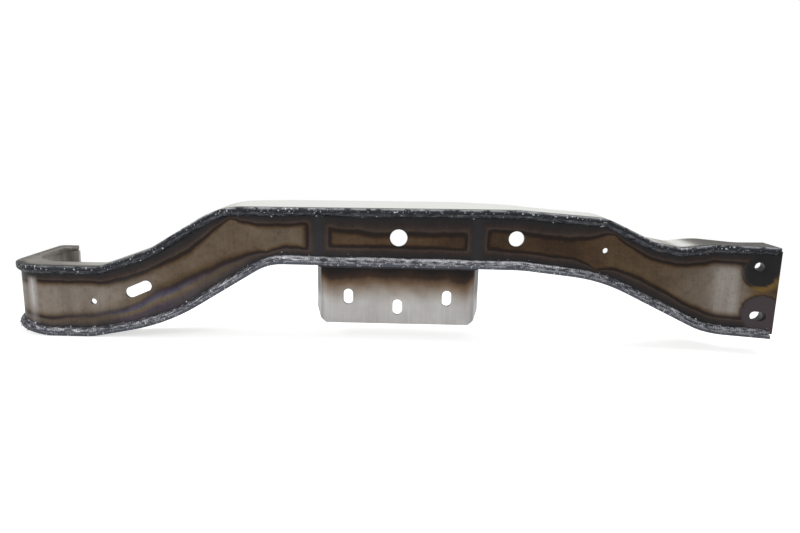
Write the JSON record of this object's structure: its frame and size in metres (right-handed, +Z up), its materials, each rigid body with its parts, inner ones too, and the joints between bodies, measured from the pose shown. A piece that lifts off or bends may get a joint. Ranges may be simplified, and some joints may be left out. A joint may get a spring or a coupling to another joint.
{
  "type": "transmission crossmember",
  "caption": "Welded steel transmission crossmember: cranked beam with a hooked end, edge walls, a folded face plate and a slotted hanging bracket.",
  "frame": {"origin": "middle of the part's bounding box, at its lowest level", "axes": "+X along the beam towards the end with the bolt hole and slot, +Y from the face plate's front towards the open back, +Z up from the hanging bracket towards the upper wall. In the vehicle the part may be turned about X."},
  "size_m": [0.892, 0.1582, 0.1596],
  "materials": {
    "heat_tinted_steel": "bare hot-rolled sheet, tinted brown by welding",
    "wall_steel": "bare mill finish",
    "bracket_steel": "bare, brushed upright",
    "tube_steel": "bare drawn tube",
    "weld_metal": "rippled fillet weld with spatter"
  },
  "bodies": {
    "root": {"bracket_front_weld": "weld_metal", "bracket_left_weld": "weld_metal", "bracket_right_weld": "weld_metal", "face_plate": "heat_tinted_steel", "left_rib": "wall_steel", "left_rib_weld": "weld_metal", "lower_end_sleeve": "tube_steel", "lower_front_weld": "weld_metal", "lower_sleeve_weld": "weld_metal", "lower_wall": "wall_steel", "right_rib": "wall_steel", "right_rib_weld": "weld_metal", "transmission_bracket": "bracket_steel", "upper_end_sleeve": "tube_steel", "upper_front_weld": "weld_metal", "upper_sleeve_weld": "weld_metal", "upper_wall": "wall_steel"}
  },
  "joints": []
}
